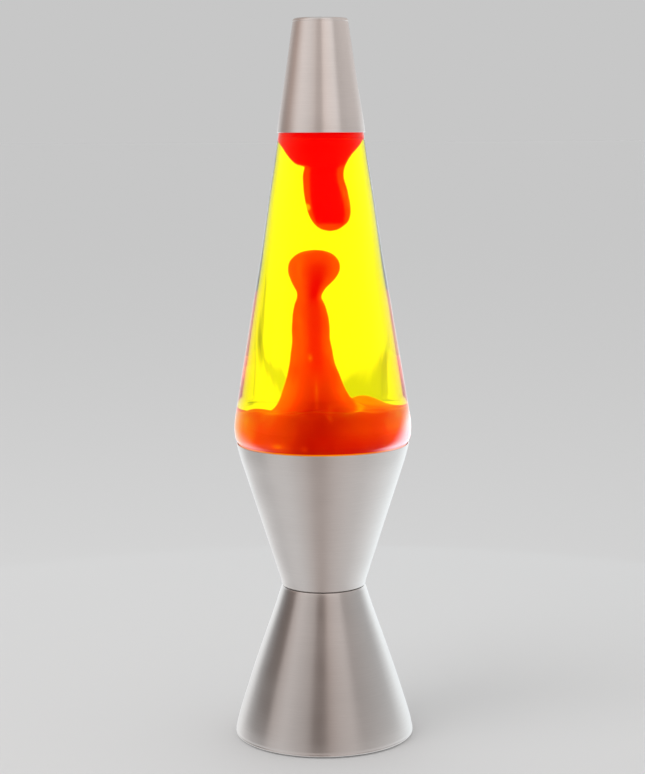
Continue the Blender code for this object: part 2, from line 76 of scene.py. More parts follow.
def smooth(points, per_span=6):
    """A Catmull-Rom curve through the points, with per_span steps between neighbours."""
    p = np.array([points[0], *points, points[-1]], float)
    out = []
    for a, b, c, d in zip(p, p[1:], p[2:], p[3:]):
        for t in np.arange(per_span) / per_span:
            out.append(tuple(0.5 * (2 * b + (c - a) * t + (2 * a - 5 * b + 4 * c - d) * t ** 2
                                    + (3 * b - a - 3 * c + d) * t ** 3)))
    return [*out, tuple(points[-1])]


def arc(centre, radius, start, end, steps=8):
    """Points on an arc from angle start to end, in degrees, where 0 points outwards and 90 up."""
    angles = np.radians(np.linspace(start, end, steps + 1))
    return [(centre[0] + radius * math.cos(a), centre[1] + radius * math.sin(a)) for a in angles]


def inset(points, wall):
    """The same line moved sideways by wall, to the right of the way it runs."""
    p = np.array(points, float)
    along = np.gradient(p, axis=0)
    along /= np.linalg.norm(along, axis=1)[:, None]
    return [(r + wall * dz, z - wall * dr) for (r, z), (dr, dz) in zip(p, along)]


def radius_at(line, height):
    """The radius at a height, for a line that runs down."""
    p = np.array(line[::-1], float)
    return np.interp(height, p[:, 1], p[:, 0])


CAP_SIDE = smooth([(13.9, 366.6), (14.7, 361.5), (16.9, 346.5), (19.3, 331.0), (21.3, 319.0),
                   (22.15, LIP_Z + 1.2)])
GLOBE_SIDE = smooth([(21.4, 312.0), (23.5, 298.0), (26.4, 280.0), (30.9, 250.0), (35.2, 225.0),
                     (39.4, 200.0), (42.5, 182.0), (44.4, 170.5), (45.15, 165.5), (45.35, 161.0),
                     (44.9, 156.8), (43.45, RIM_Z), (41.5, 148.5), (38.0, 137.6), (34.6, 127.5)])
UPPER_SIDE = smooth([(44.4, RIM_Z - 0.2), (42.2, 145.3), (39.2, 135.9), (35.5, 124.3), (31.9, 113.0),
                     (28.3, 101.7), (24.9, 91.0), (21.9, WAIST_Z + 2.5)])
LOWER_SIDE = smooth([(22.3, WAIST_Z - 2.0), (25.9, 66.0), (29.8, 55.0), (33.3, 45.0), (36.7, 35.0),
                     (39.9, 25.0), (43.0, 15.0), (45.0, 8.0), (46.1, 2.8)])
GLASS_INSIDE = [*smooth([(16.4, 321.0), (18.6, 315.3)], 2), *inset(GLOBE_SIDE, GLASS_WALL),
                *smooth([(27.8, 124.0), (24.0, 121.8), (14.0, 123.8), (0, 124.8)])]


# ---------------------------------------------------------------- node materials

class Nodes:
    """Short calls that add shader nodes to a tree.

    A value may be a number, a tuple or another node's socket.
    """

    def __init__(self, tree):
        self.tree = tree

    def node(self, kind, **settings):
        made = self.tree.nodes.new("ShaderNode" + kind)
        for name, value in settings.items():
            if hasattr(made, name):
                setattr(made, name, value)
            else:
                made.inputs[name.replace("_", " ")].default_value = value
        return made

    def feed(self, socket, value):
        if isinstance(value, bpy.types.NodeSocket):
            self.tree.links.new(value, socket)
        elif value is not None:
            socket.default_value = (*value, 1) if socket.type == "RGBA" else value

    def maths(self, operation, *values, clamped=False):
        made = self.node("Math", operation=operation, use_clamp=clamped)
        for socket, value in zip(made.inputs, values):
            self.feed(socket, value)
        return made.outputs[0]

    def vector(self, operation, *values, scale=None):
        made = self.node("VectorMath", operation=operation)
        for socket, value in zip(made.inputs, values):
            self.feed(socket, value)
        if scale is not None:
            self.feed(made.inputs["Scale"], scale)
        return made.outputs["Value" if operation in ("DOT_PRODUCT", "DISTANCE") else "Vector"]

    def ranged(self, value, low, high, start=0.3, end=0.7, curve="LINEAR"):
        """The value's range from start to end, mapped to low to high."""
        spread = self.node("MapRange", interpolation_type=curve, From_Min=start, From_Max=end,
                           To_Min=low, To_Max=high)
        self.feed(spread.inputs["Value"], value)
        return spread.outputs["Result"]

    def mixed(self, share, a, b):
        made = self.node("Mix", data_type="RGBA")
        for socket, value in ((made.inputs["Factor"], share), (made.inputs[6], a), (made.inputs[7], b)):
            self.feed(socket, value)
        return made.outputs[2]

    def ramp(self, value, *stops):
        """Colours by value: stops are (position, colour)."""
        ramp = self.node("ValToRGB")
        elements = ramp.color_ramp.elements
        while len(elements) < len(stops):
            elements.new(0.5)
        for element, (position, colour) in zip(elements, stops):
            element.position = position
            element.color = (*colour, 1.0)
        self.feed(ramp.inputs["Fac"], value)
        return ramp.outputs["Color"]

    def noise(self, scale, stretch=(1, 1, 1), detail=3.0):
        """Noise in object coordinates, scale per metre, stretched along the axes."""
        where = self.node("TexCoord").outputs["Object"]
        pattern = self.node("TexNoise", Scale=scale, Detail=detail)
        self.feed(pattern.inputs["Vector"], self.vector("MULTIPLY", where, stretch))
        return pattern.outputs["Fac"]


class Finish(Nodes):
    """A material with one Principled shader."""

    def __init__(self, name, slot, **sockets):
        self.slot = slot
        self.material = bpy.data.materials.new(name)
        self.material.use_nodes = True
        super().__init__(self.material.node_tree)
        self.shader = self.tree.nodes["Principled BSDF"]
        for socket, value in sockets.items():
            self.feed(self.shader.inputs[socket.replace("_", " ")], value)
        self.material.diffuse_color = self.shader.inputs["Base Color"].default_value

    def to(self, value, socket):
        self.feed(self.shader.inputs[socket], value)
        return self

    def bump(self, height, distance, strength=1.0):
        """Adds a bump of a height field, with distance in millimetres."""
        made = self.node("Bump", Distance=distance * MM, Strength=strength)
        self.feed(made.inputs["Height"], height)
        return self.to(made.outputs["Normal"], "Normal")

    def mottled(self, scale, dark, light, rough, bump=0.02, stretch=(1, 1, 1)):
        """Colour, roughness and bump that vary together, for moulded, cast and plated surfaces."""
        pattern = self.noise(scale, stretch)
        self.to(self.ramp(pattern, (0.3, dark), (0.7, light)), "Base Color")
        self.to(self.ranged(pattern, *rough), "Roughness")
        return self.bump(self.noise(scale * 4, stretch), bump)


def brushed(name, tint):
    """Aluminium brushed round the axis: fine rings in the colour and bump, and light spread up and down."""
    metal = Finish(name, "brushed_aluminium", Metallic=1.0, Anisotropic=0.9, Anisotropic_Rotation=0.25)
    tangent = metal.node("Tangent", direction_type="RADIAL", axis="Z")
    metal.to(tangent.outputs["Tangent"], "Tangent")
    fine, ring_shade = 45, 0.955
    rings = metal.noise(90, (1, 1, fine), 2.0)
    cloud = metal.noise(30, (1, 1, 2))
    dark = tuple(ring_shade * c for c in tint)
    metal.to(metal.ramp(rings, (0.3, dark), (0.7, tint)), "Base Color")
    metal.to(metal.ranged(cloud, 0.28, 0.33), "Roughness")
    metal.bump(rings, 0.004)
    return metal


ALUMINIUM = brushed("brushed_aluminium_looks", (0.76, 0.735, 0.72))
GLASS = Finish("clear_glass_looks", "clear_glass", Base_Color=(1, 1, 1), Roughness=0.0, IOR=1.47,
               Transmission_Weight=1.0, Specular_Tint=(0.02, 0.02, 0.02))


def painted_edge_reflection(glass):
    """A painted reflection: emission in the glass stands for the studio's pale light in the globe's thick
    lower wall, where the wall is seen nearly edge-on.

    Heights are metres. The light is stronger on the right, and the lower it is the further in it reaches.
    """
    middle, spread_per_metre = 0.160, 13.7
    faint, full = 0.40, 0.70
    left_top, right_top, left_share = 0.159, 0.169, 0.42
    foot, soft, strength = (0.1515, 0.1555), 0.005, 0.65
    place = glass.node("SeparateXYZ")
    glass.feed(place.inputs[0], glass.node("TexCoord").outputs["Object"])
    x, z = place.outputs["X"], place.outputs["Z"]
    lower = glass.maths("MULTIPLY_ADD", z, -spread_per_metre, spread_per_metre * middle)
    glance = glass.maths("ADD", glass.node("LayerWeight", Blend=0.5).outputs["Facing"], lower)
    share = glass.ranged(glance, 0, 1, faint, full, "SMOOTHSTEP")
    top = glass.ranged(x, left_top, right_top, -soft, soft)
    below = glass.ranged(glass.maths("SUBTRACT", z, top), 1, 0, -soft, soft, "SMOOTHSTEP")
    above = glass.ranged(z, 0, strength, *foot, "SMOOTHSTEP")
    side = glass.ranged(x, left_share, 1.0, -soft, soft)
    light = glass.maths("MULTIPLY", glass.maths("MULTIPLY", share, below),
                        glass.maths("MULTIPLY", side, above))
    # the painted reflection's colour and strength, given as emission
    glass.to((0.77, 0.85, 1.0), "Emission Color").to(light, "Emission Strength")


# the glass's lower wall gets its painted reflection
painted_edge_reflection(GLASS)
BULB_GLASS = Finish("bulb_glass_looks", "clear_glass", Base_Color=(1, 0.99, 0.96), Roughness=0.02, IOR=1.47,
                    Transmission_Weight=1.0)
LIQUID = Finish("yellow_liquid_looks", "yellow_liquid", Base_Color=(1.0, 0.95, 0.004), Roughness=0.0,
                IOR=LIQUID_INDEX, Transmission_Weight=1.0, Specular_Tint=(0.05, 0.05, 0.05))
STEEL = Finish("zinc_plate", "steel", Metallic=1.0).mottled(
    400, (0.50, 0.51, 0.53), (0.66, 0.67, 0.68), (0.28, 0.42))
BRASS = Finish("drawn_brass", "brass", Metallic=1.0).mottled(
    300, (0.70, 0.50, 0.20), (0.85, 0.66, 0.32), (0.22, 0.38))
NICKEL = Finish("nickel_plate", "nickel", Metallic=1.0).mottled(
    300, (0.66, 0.64, 0.60), (0.80, 0.78, 0.74), (0.15, 0.28))
PHENOLIC = Finish("moulded_phenolic", "phenolic", IOR=1.5).mottled(
    500, (0.020, 0.014, 0.010), (0.045, 0.034, 0.026), (0.38, 0.55))
PLASTIC = Finish("moulded_black", "black_plastic", IOR=1.5).mottled(
    900, (0.012, 0.012, 0.013), (0.026, 0.026, 0.028), (0.42, 0.58))
RUBBER = Finish("moulded_rubber", "rubber", IOR=1.4).mottled(
    700, (0.016, 0.016, 0.016), (0.034, 0.033, 0.032), (0.75, 0.92), 0.04)
LINER = Finish("sealing_disc", "liner", IOR=1.4).mottled(
    300, (0.74, 0.74, 0.68), (0.86, 0.86, 0.82), (0.5, 0.7))
VITRITE = Finish("vitrite_glass", "vitrite", IOR=1.5).mottled(
    600, (0.010, 0.010, 0.018), (0.030, 0.030, 0.045), (0.05, 0.15), 0.01)
TUNGSTEN = Finish("glowing_filament", "tungsten", Metallic=1.0, Emission_Color=(1.0, 0.62, 0.22),
                  Emission_Strength=6.0).mottled(900, (0.30, 0.29, 0.28), (0.42, 0.41, 0.40), (0.3, 0.5))


def wax(name, slot, stops, painted_glow):
    """Translucent wax, whose emission paints in the light it gets from the lamp below.

    The mesh's warmth attribute, which holds painted light as well as the wax's colour, picks a colour from
    the stops, and its painted shade attribute deepens it to red, as painted shade.
    """
    made = Finish(name, slot, Roughness=0.3, IOR=WAX_INDEX, Specular_Tint=(0.2, 0.2, 0.2),
                  Subsurface_Weight=0.25, Subsurface_Scale=0.004, Subsurface_Radius=(1.0, 0.25, 0.05),
                  Emission_Strength=painted_glow)
    warmth = made.node("Attribute", attribute_name="warmth").outputs["Fac"]
    core = made.node("Attribute", attribute_name="core").outputs["Fac"]
    cloud = made.noise(130, (1, 1, 0.35), 2.0)
    colour = made.ramp(made.maths("ADD", warmth, made.ranged(cloud, -0.05, 0.05)), *stops)
    colour = made.mixed(core, colour, SHADED_CORE_RED)
    made.to(colour, "Base Color").to(colour, "Emission Color")
    return made.bump(cloud, 0.08)


ORANGE_WAX = wax("orange_wax_looks", "orange_wax",
                 ((0.0, (0.49, 0.003, 0.0)), (0.2, (0.57, 0.014, 0.0)), (0.4, (0.68, 0.034, 0.0)),
                  (0.6, (0.90, 0.056, 0.0)), (0.8, (0.95, 0.16, 0.0)), (1.0, (1.0, 0.34, 0.0))), WAX_PAINTED_GLOW)
RED_WAX = wax("red_wax_looks", "red_wax",
              ((0.0, (0.85, 0.0, 0.0)), (0.5, (0.97, 0.0, 0.0)), (0.65, (1.0, 0.012, 0.0)),
               (0.85, (0.98, 0.058, 0.0)), (1.0, (1.0, 0.40, 0.01))), WAX_PAINTED_GLOW)


# ---------------------------------------------------------------- pieces

def piece(name, points, faces, finish, body, stands_for=(), sharp=35):
    """A mesh piece in metres, on a body, in place of CAD nodes."""
    mesh = bpy.data.meshes.new(name)
    mesh.from_pydata([tuple(p) for p in points], [], faces)
    mesh.validate()
    mesh.shade_smooth()
    mesh.set_sharp_from_angle(angle=math.radians(sharp))
    mesh.materials.append(finish.material)
    obj = bpy.data.objects.new(name, mesh)
    bpy.context.scene.collection.objects.link(obj)
    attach(obj, body)
    if stands_for:
        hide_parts(*stands_for)
    return obj


def turned_mesh(outline, around=AROUND):
    """Points and faces of an outline turned about Z. Its ends lie on the axis, or it's a closed ring."""
    points, rings = [], []
    for r, z in outline:
        if r < 1e-6:
            rings.append([len(points)] * around)
            points.append((0, 0, z * MM))
            continue
        rings.append(list(range(len(points), len(points) + around)))
        for a in np.arange(around) * 2 * math.pi / around:
            points.append((r * MM * math.cos(a), r * MM * math.sin(a), z * MM))
    if outline[0][0] > 1e-6:
        rings.append(rings[0])
    faces = []
    for upper, lower in zip(rings, rings[1:]):
        for j in range(around):
            k = (j + 1) % around
            corners = [upper[j], lower[j], lower[k], upper[k]]
            face = [c for i, c in enumerate(corners) if c not in corners[:i]]
            if len(face) > 2:
                faces.append(face)
    return np.array(points), faces


def turned(name, outline, finish, body, *stands_for, around=AROUND, at=None, shape=None):
    """A turned piece. at is the matrix of its own axis, and shape moves its points before that."""
    points, faces = turned_mesh(outline, around)
    if shape:
        points = np.array([shape(*p) for p in points])
    if at:
        points = np.array([at @ Vector(p) for p in points])
    return piece(name, points, faces, finish, body, stands_for)


def cut(obj, outline, at):
    """Takes a turned shape, on its own axis, out of a piece."""
    points, faces = turned_mesh(outline, 96)
    mesh = bpy.data.meshes.new("cutter")
    mesh.from_pydata([tuple(at @ Vector(p)) for p in points], [], faces)
    cutter = bpy.data.objects.new("cutter", mesh)
    bpy.context.scene.collection.objects.link(cutter)
    modifier = obj.modifiers.new("hole", "BOOLEAN")
    modifier.operation, modifier.object = "DIFFERENCE", cutter
    graph = bpy.context.evaluated_depsgraph_get()
    holed = bpy.data.meshes.new_from_object(obj.evaluated_get(graph))
    obj.modifiers.clear()
    obj.data = holed
    bpy.data.objects.remove(cutter)


def wire(name, points, radius, finish, body, *stands_for, sides=12):
    """A round wire through points in millimetres, with closed ends."""
    path = np.array(points, float)
    along = np.gradient(path, axis=0)
    along /= np.linalg.norm(along, axis=1)[:, None]
    side = np.cross(along, (0, 1, 0))
    side /= np.linalg.norm(side, axis=1)[:, None]
    over = np.cross(side, along)
    angles = np.arange(sides) * 2 * math.pi / sides
    rings = [[p + radius * (math.cos(a) * u + math.sin(a) * v) for a in angles]
             for p, u, v in zip(path, side, over)]
    made_points, faces = skin(rings)
    return piece(name, made_points * MM, faces, finish, body, stands_for)


def make_cap():
    """Thin spun cap, with the soft top corner and the small turned-in lip that catches light."""
    bend, curl = 1.7, 0.35
    shoulder = (12.35, TOP_Z - bend)
    corner = arc(shoulder, bend, 92, 6, 10)
    lip = [*arc((21.95, LIP_Z + curl), curl, 20, -160, 8)]
    inner = inset(CAP_SIDE, CAP_WALL)[::-1]
    ceiling = arc(shoulder, bend - CAP_WALL, 6, 92, 6)
    outline = [(0, TOP_Z), *corner, *CAP_SIDE, *lip, *inner, *ceiling, (0, TOP_Z - CAP_WALL)]
    turned("spun_cap", outline, ALUMINIUM, "cap", "cap")


def make_globe():
    """The blown bottle and its liquid, which overlaps the glass a little and surrounds the wax."""
    shoulder = smooth([(12.4, 330.0), (14.0, 327.0), (18.6, 321.5), (20.9, 315.5), (21.4, 312.0)])[:-1]
    bead = 0.7
    lip = [(9.8, FINISH_Z), (12.4, FINISH_Z), *arc((12.6, FINISH_Z - bead), bead, 80, 0, 4),
           *arc((12.6, FINISH_Z - 4.0), bead, 0, -60, 4), (12.4, FINISH_Z - 5.4)]
    foot = smooth([(34.6, 127.5), (33.9, 122.9), (31.6, GLOBE_FOOT_Z + 0.7), (28.0, GLOBE_FOOT_Z),
                   (24.0, GLOBE_FOOT_Z + 0.1), (14.0, GLOBE_FOOT_Z + 2.0), (0, GLOBE_FOOT_Z + 3.0)])[1:]
    bore = smooth([(8.8, FINISH_Z - 1.4), (8.7, 338.0), (8.9, 331.0), (11.4, 327.0), (16.4, 321.0)])[:-1]
    outline = [*lip, *shoulder, *GLOBE_SIDE, *foot, *GLASS_INSIDE[::-1], *bore[::-1]]
    turned("globe_glass", outline, GLASS, "globe", "globe_bottle")
    surface, overlap = 323.2, 0.15
    brim = [(0, surface), (radius_at(GLASS_INSIDE, surface) - 0.6, surface)]
    wall = [(r + overlap, z) for r, z in GLASS_INSIDE[:-1] if z < surface - 0.5]
    turned("globe_liquid", [*brim, *wall, (0, GLASS_INSIDE[-1][1] - overlap)], LIQUID, "globe",
           "lamp_liquid")


def outline_of(points):
    """A smooth side outline, as rising heights and the x at each, from (height, x) read downwards."""
    return np.array(smooth(points))[::-1].T


HEAD_LEFT = outline_of([
    (309.0, -18.6), (307.0, -16.2), (304.1, -14.5), (300.6, -12.7), (298.1, -11.2), (295.9, -9.4),
    (295.1, -7.6), (294.4, -6.3), (292.3, -6.5), (289.1, -6.8), (283.3, -6.6), (276.3, -6.0),
    (271.8, -5.3), (267.9, -3.9), (265.0, -2.0), (263.1, 0.3), (262.3, 3.2)])
HEAD_RIGHT = outline_of([
    (309.0, 18.6), (308.3, 16.0), (305.7, 14.6), (303.5, 13.3), (300.6, 11.5), (296.8, 9.6),
    (293.6, 8.6), (289.8, 8.4), (285.9, 8.8), (280.7, 9.9), (276.3, 10.9), (271.8, 11.0),
    (267.6, 10.1), (265.2, 8.4), (263.1, 6.0), (262.3, 3.2)])
STEM_LEFT = outline_of([
    (252.5, -2.8), (251.7, -6.4), (250.1, -9.3), (247.2, -11.7), (243.9, -12.7), (240.7, -12.8),
    (237.5, -11.8), (234.2, -10.6), (230.9, -9.5), (227.7, -9.6), (224.9, -10.4), (219.7, -11.25),
    (212.5, -11.3), (199.3, -11.7), (193.4, -12.2), (184.9, -13.5), (180.2, -14.6), (176.3, -15.7)])
STEM_RIGHT = outline_of([
    (252.5, -2.8), (252.0, 0.8), (250.7, 3.6), (248.5, 5.4), (245.3, 6.5), (242.0, 6.5),
    (238.7, 5.4), (236.1, 3.9), (232.9, 1.5), (229.7, 0.0), (227.7, -0.1), (226.2, 0.5),
    (222.9, 1.7), (218.4, 2.5), (212.5, 2.6), (206.6, 2.7), (201.3, 3.4), (196.0, 4.4),
    (191.4, 5.5), (186.2, 6.9), (181.6, 8.3), (176.3, 10.2)])


def between(left, right, height):
    """The centre and half-width at a height, from the left and right outlines."""
    start, end = np.interp(height, *left), np.interp(height, *right)
    return (start + end) / 2, (end - start) / 2


def bunched(low, high, count, low_end=True, high_end=True):
    """Heights from low to high, close together at the ends that are asked for."""
    t = np.linspace(math.pi if low_end else math.pi / 2, 0 if high_end else math.pi / 2, count)
    c = np.cos(t)
    return low + (high - low) * (c - c[0]) / (c[-1] - c[0])


def lumpy(point, centre, size, seed):
    """Pushes a point out from its centreline by slow noise, up to size millimetres."""
    p = np.array(point, float)
    away = p - centre
    away[2] = 0
    length = max(np.linalg.norm(away), 1e-6)
    push = noise.noise(Vector(p / 9.0) + Vector((seed, 0, 0))) * size * min(length / 4, 1)
    return p + away / length * push


WAX_AROUND = 120


def skin(rings):
    """Points and faces of a closed body from rings of points, top to bottom, with a point at each end."""
    count = len(rings[0])
    points = [p for ring in rings for p in ring]
    faces = []
    for i in range(len(rings) - 1):
        for j in range(count):
            k = (j + 1) % count
            faces.append((i * count + j, (i + 1) * count + j, (i + 1) * count + k, i * count + k))
    top, bottom = len(points), len(points) + 1
    points += [np.mean(rings[0], axis=0), np.mean(rings[-1], axis=0)]
    last = (len(rings) - 1) * count
    for j in range(count):
        k = (j + 1) % count
        faces.append((top, j, k))
        faces.append((bottom, last + k, last + j))
    return np.array(points), faces


def painted(obj, warmth, core):
    """Stores the wax's warmth, which holds its colour and painted light, and its painted shade, each 0 to
    1, by functions of (x, y, z) in millimetres.
    """
    for name, value in (("warmth", warmth), ("core", core)):
        attribute = obj.data.attributes.new(name, "FLOAT", "POINT")
        values = [value(*(v.co / MM)) for v in obj.data.vertices]
        attribute.data.foreach_set("value", np.clip(values, 0, 1).astype(np.float32))


def eased(value, start, end):
    """0 up to start and 1 from end, with a soft run between."""
    t = min(max((value - start) / (end - start), 0), 1)
    return t * t * (3 - 2 * t)


def streak(x, z, at_x, at_z, half_width, half_height):
    """1 in the middle of a small soft spot on the wax, falling to 0 outside it."""
    return math.exp(-((x - at_x) / half_width) ** 2 - ((z - at_z) / half_height) ** 2)


def make_hanging_wax():
    """The mass under the cap, with a shoulder on the left and a finger that droops from it."""
    inside = [(r - WAX_GAP, z) for r, z in GLASS_INSIDE]
    heights = [*np.linspace(309.2, 297.0, 22), *np.linspace(296.6, 293.0, 16),
               *bunched(262.35, 292.6, 56, high_end=False)[::-1]]
    angles = np.arange(WAX_AROUND) * 2 * math.pi / WAX_AROUND
    rings = []
    roof, sag = 321.6, 1.0
    for r in (0.5, 8.0, radius_at(inside, roof) - 1.2):
        rings.append([(r * math.cos(a), r * math.sin(a), roof + 0.3) for a in angles])
    for z in np.linspace(roof, 309.6, 10):
        r = radius_at(inside, z)
        rings.append([(r * math.cos(a), r * math.sin(a), z) for a in angles])
    for z in heights:
        middle, half = between(HEAD_LEFT, HEAD_RIGHT, z)
        centre = np.array((middle, 0.6 * math.sin(z / 11.0), z))
        ring = []
        for a in angles:
            point = centre + np.array((half * math.cos(a), 0.94 * half * math.sin(a), 0))
            ring.append(lumpy(point, centre, 0.5, 3.0) if z < 305 else point)
        rings.append(ring)
    points, faces = skin(rings)
    points[:, 2] -= sag
    obj = piece("hanging_wax", points * MM, faces, RED_WAX, "globe", ("wax_upper",), 80)

    def warmth(x, y, z):
        """Red, with painted light that makes the finger's sides and tip orange, and one small painted
        glint.
        """
        middle = between(HEAD_LEFT, HEAD_RIGHT, min(max(z, 262.4), 309.0))[0]
        aside = abs(math.sin(math.atan2(x - middle, -y)))
        # painted rim light on the finger's sides, and painted light at its thin tip
        painted_rim_light = eased(aside, 0.62, 0.86) * (1 - eased(z, 292, 299))
        painted_tip_light = eased(267.5 - z, 0, 3.5)
        painted_glint = streak(x, z, -5.6, 273.5, 1.0, 1.3) if y < 0 else 0
        return 0.35 + 0.47 * max(painted_rim_light, painted_tip_light) + 0.6 * painted_glint

    painted(obj, warmth, lambda x, y, z: 0.0)


# The pool is higher towards the front, where it also rises a little faster, and ripples slowly.
POOL_LEVEL, POOL_TILT, FRONT_TILT = 168.3, 0.125, 0.035
RIPPLE, RIPPLE_LENGTH = 0.9, 9
POOL_HUMPS = ((-27, -8, 2.2, 5.0), (13, 20, 8.0, 5.6), (40, -2, 3.6, 8.0), (-10, 30, -1.0, 9.0),
              (24, -10, 1.4, 6.0), (-16, 24, -2.5, 6.0), (-23, 0, -1.6, 4.0))
# The pool's warmth from left to right, as x and the value there: painted light and shade, a shaded dark red
# middle and warmer lit ends.
POOL_PAINTED_LIGHT = (-42, -36, -30, -20, -2, 12, 28, 36), (0.95, 0.80, 0.58, 0.46, 0.0, 0.29, 0.56, 0.80)


def pool_height(x, y):
    """Height of the molten pool's surface, with its humps, in millimetres."""
    ripple = RIPPLE * noise.noise(Vector((x / RIPPLE_LENGTH, y / RIPPLE_LENGTH, 4.0)))
    level = POOL_LEVEL - POOL_TILT * y - FRONT_TILT * min(y, 0) + ripple
    for at_x, at_y, height, spread in POOL_HUMPS:
        level += height * math.exp(-((x - at_x) ** 2 + (y - at_y) ** 2) / (2 * spread ** 2))
    return level


def make_rising_wax():
    """The pool on the globe's floor and the column that rises from it to a round head."""
    inside = [(r - WAX_GAP, z) for r, z in GLASS_INSIDE]
    angles = np.arange(WAX_AROUND) * 2 * math.pi / WAX_AROUND
    rings = []
    foot_z, head_z, sag = 176.3, 252.45, 0.75
    for z in bunched(foot_z, head_z, 84, low_end=False)[::-1]:
        middle, half = between(STEM_LEFT, STEM_RIGHT, z)
        centre = np.array((middle, 0.7 * math.sin(z / 13.0), z - sag * eased(z, 185, 225)))
        rings.append([lumpy(centre + np.array((half * math.cos(a), 0.96 * half * math.sin(a), 0)),
                            centre, 0.5, 8.0) for a in angles])
    foot = np.array(rings[-1])
    wall_r = radius_at(inside, 168.0)
    wall = np.array([(wall_r * math.cos(a), wall_r * math.sin(a), 0) for a in angles])
    # From the column's foot (u = 0) to the glass (u = 1) the surface flares into the pool, more sharply on
    # the left, and then turns over against the glass, earlier and deeper at the front.
    flare_power, left_power = 4.5, 7
    turn_start, front_lead = 0.84, 0.36
    turn_depth, front_depth = 2.5, 9
    for u in [*np.linspace(0, turn_start, 36)[1:], *np.sin(np.linspace(1.0, math.pi / 2, 14))]:
        ring = foot * (1 - u) + wall * u
        for p, angle in zip(ring, angles):
            drop = (1 - u) ** (flare_power + left_power * eased(-math.cos(angle), -0.1, 0.7))
            frontness = eased(-p[1] / math.hypot(p[0], p[1]), 0.1, 0.9)
            start = turn_start - front_lead * frontness
            turned_over = min(max((u - start) / (1 - start), 0), 1)
            rounding = (turn_depth + front_depth * frontness) * (1 - math.sqrt(1 - turned_over ** 2))
            level = pool_height(p[0], p[1]) - rounding
            p[2] = level + (foot_z - level) * drop
            limit = radius_at(inside, p[2])
            out = math.hypot(p[0], p[1])
            p[:2] *= min(1, limit / out)
        rings.append(ring)
    brim = rings[-1]
    # just below this height a glow is painted on the wax, fainter further down
    line_z = RIM_Z + 0.9                         # just below it the wax glows, and less further down
    below = (line_z - 0.25, line_z - 2.5, *np.linspace(line_z - 2.8, 127.5, 14))
    steps = [(share, line_z) for share in np.linspace(0, 1, 14)[1:]] + [(1, z) for z in below]
    for share, floor_z in steps:
        ring = np.array(brim)
        for p in ring:
            p[2] = p[2] * (1 - share) + floor_z * share
            p[:2] *= radius_at(inside, p[2]) / math.hypot(p[0], p[1])
        rings.append(ring)
    for r, z in ((27.8, 124.4), (24.0, 122.3), (14.0, 124.2), (1.0, 125.2)):
        rings.append(np.array([(r * math.cos(a), r * math.sin(a), z) for a in angles]))
    points, faces = skin(rings)
    obj = piece("rising_wax", points * MM, faces, ORANGE_WAX, "globe", ("wax_lower",), 80)

    # Painted highlights as (x, z, half-width, half-height), and a painted lit edge right of the column's
    # foot.
    painted_glints = ((-4.7, 197.7, 0.9, 1.6), (-2.4, 180.0, 0.8, 6.5), (3.2, 171.3, 0.9, 2.6),
              (-9.0, 157.0, 1.0, 1.2), (-22.0, 157.6, 3.5, 1.6))
    painted_lit_line = smooth([(11.6, 177.8), (13.9, 173.6), (18.0, 169.5)], 5)
    off_centre = 1.5

    def outward(x, y, z):
        """0 along a line a little right of the column's middle, front and back, and 1 at its sides."""
        middle = between(STEM_LEFT, STEM_RIGHT, min(max(z, foot_z), 252.4))[0]
        return abs(math.sin(math.atan2(x - middle - off_centre, -y)))

    def warmth(x, y, z):
        """Orange in the column, dark red in the pool's middle, warmer at its ends and under the rim; the
        column's lighter sides, the pool's shaded middle and lit ends, the glow under the rim and the glints
        are painted light and shade.
        """
        # under the rim: a painted glow, strongest just below line_z
        if z < line_z - 0.2:
            return 0.95 - 0.6 * eased(line_z - z, 1.5, 15)
        right, over = eased(x, 2, 22), z - 165
        # the pool's painted light and shade by x, warmer at its ends and dark in the middle
        pool = np.interp(x, *POOL_PAINTED_LIGHT) + 0.012 * over + 0.034 * right * min(over, 0)
        pool += 0.8 * streak(x, y, 13, 20, 9, 9)
        share = eased(202 - z, 0, 34)
        # painted highlights on the front of the wax
        painted_glow = sum(streak(x, z, *painted_glint) for painted_glint in painted_glints) if y < 0 else 0
        # the column's sides and flared foot are painted lighter, where light falls on them
        side = eased(outward(x, y, z), 0.3, 0.9)
        column = 0.60 + 0.07 * side
        painted_foot_light = 0.27 * side * eased(z, 158, 172) * (1 - eased(z, 177, 192))
        painted_foot_light *= 1 - eased(abs(x + 3), 16, 30)
        # a painted lit edge along the column's foot
        painted_rim_light = 0.55 * max(streak(x, z, *place, 0.8, 0.8) for place in painted_lit_line) if -22 < y < 0 else 0
        return column * (1 - share) + pool * share + painted_foot_light + painted_rim_light + 0.4 * painted_glow

    def core(x, y, z):
        """Painted shade: the redder heart of the column, which shows from front and back, and the pool's
        right half.
        """
        neck = eased(z, 222, 230) * (1 - eased(z, 236, 247))
        painted_heart_shade = (0.72 + 0.28 * neck) * (1 - eased(outward(x, y, z), 0.1, 0.75))
        painted_heart_shade *= eased(z, 178, 198) * (1 - eased(z, 243, 251))
        return painted_heart_shade + 0.15 * eased(x, 2, 22) * (1 - eased(z, 174, 186))

    painted(obj, warmth, core)


def make_upper_cone():
    """The spun cup with its fine rolled rim and its flat ring floor."""
    floor = WAIST_Z + 0.3
    rim = arc((44.1, RIM_Z - 0.3), 0.3, 180, 10, 8)
    outer = [*UPPER_SIDE, *arc((20.9, floor + 0.8), 0.8, -18, -90, 5), (16.0, floor)]
    inner = [(16.0, floor + CONE_WALL), (20.4, floor + CONE_WALL), *inset(UPPER_SIDE, CONE_WALL)[-2:1:-1]]
    turned("spun_cup", [*rim, *outer, *inner], ALUMINIUM, "base", "upper_cone")


